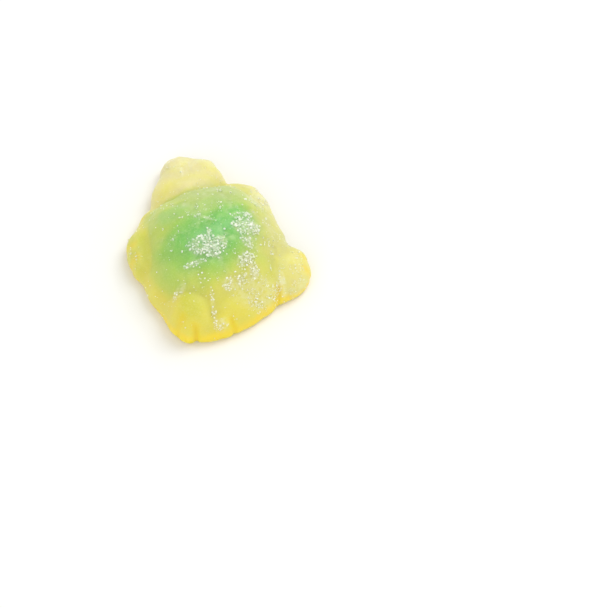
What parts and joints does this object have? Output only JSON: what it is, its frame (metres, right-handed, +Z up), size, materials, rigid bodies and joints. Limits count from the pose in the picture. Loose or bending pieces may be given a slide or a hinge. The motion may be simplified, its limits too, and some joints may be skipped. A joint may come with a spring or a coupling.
{
  "type": "sour gummy turtle",
  "caption": "Jelly sweet cast as a turtle: domed plated shell, blunt head and stubby legs over a flat underside, with coarse sugar stuck to its back.",
  "frame": {"origin": "middle of the plan box on the flat underside", "axes": "+X to the turtle's left, +Y towards its tail, +Z up; the head points along -Y"},
  "size_m": [0.0334, 0.0416, 0.0141],
  "materials": {
    "sour_jelly": "frosted, slightly see-through jelly: green at the heart of the shell, yellow-green round it, pale yellow at the head and bright yellow at the feet and rim",
    "sugar": "white sugar crystals, thick in patches on the shell and sparse elsewhere"
  },
  "bodies": {
    "root": {"gummy_turtle": "sour_jelly"}
  },
  "joints": []
}
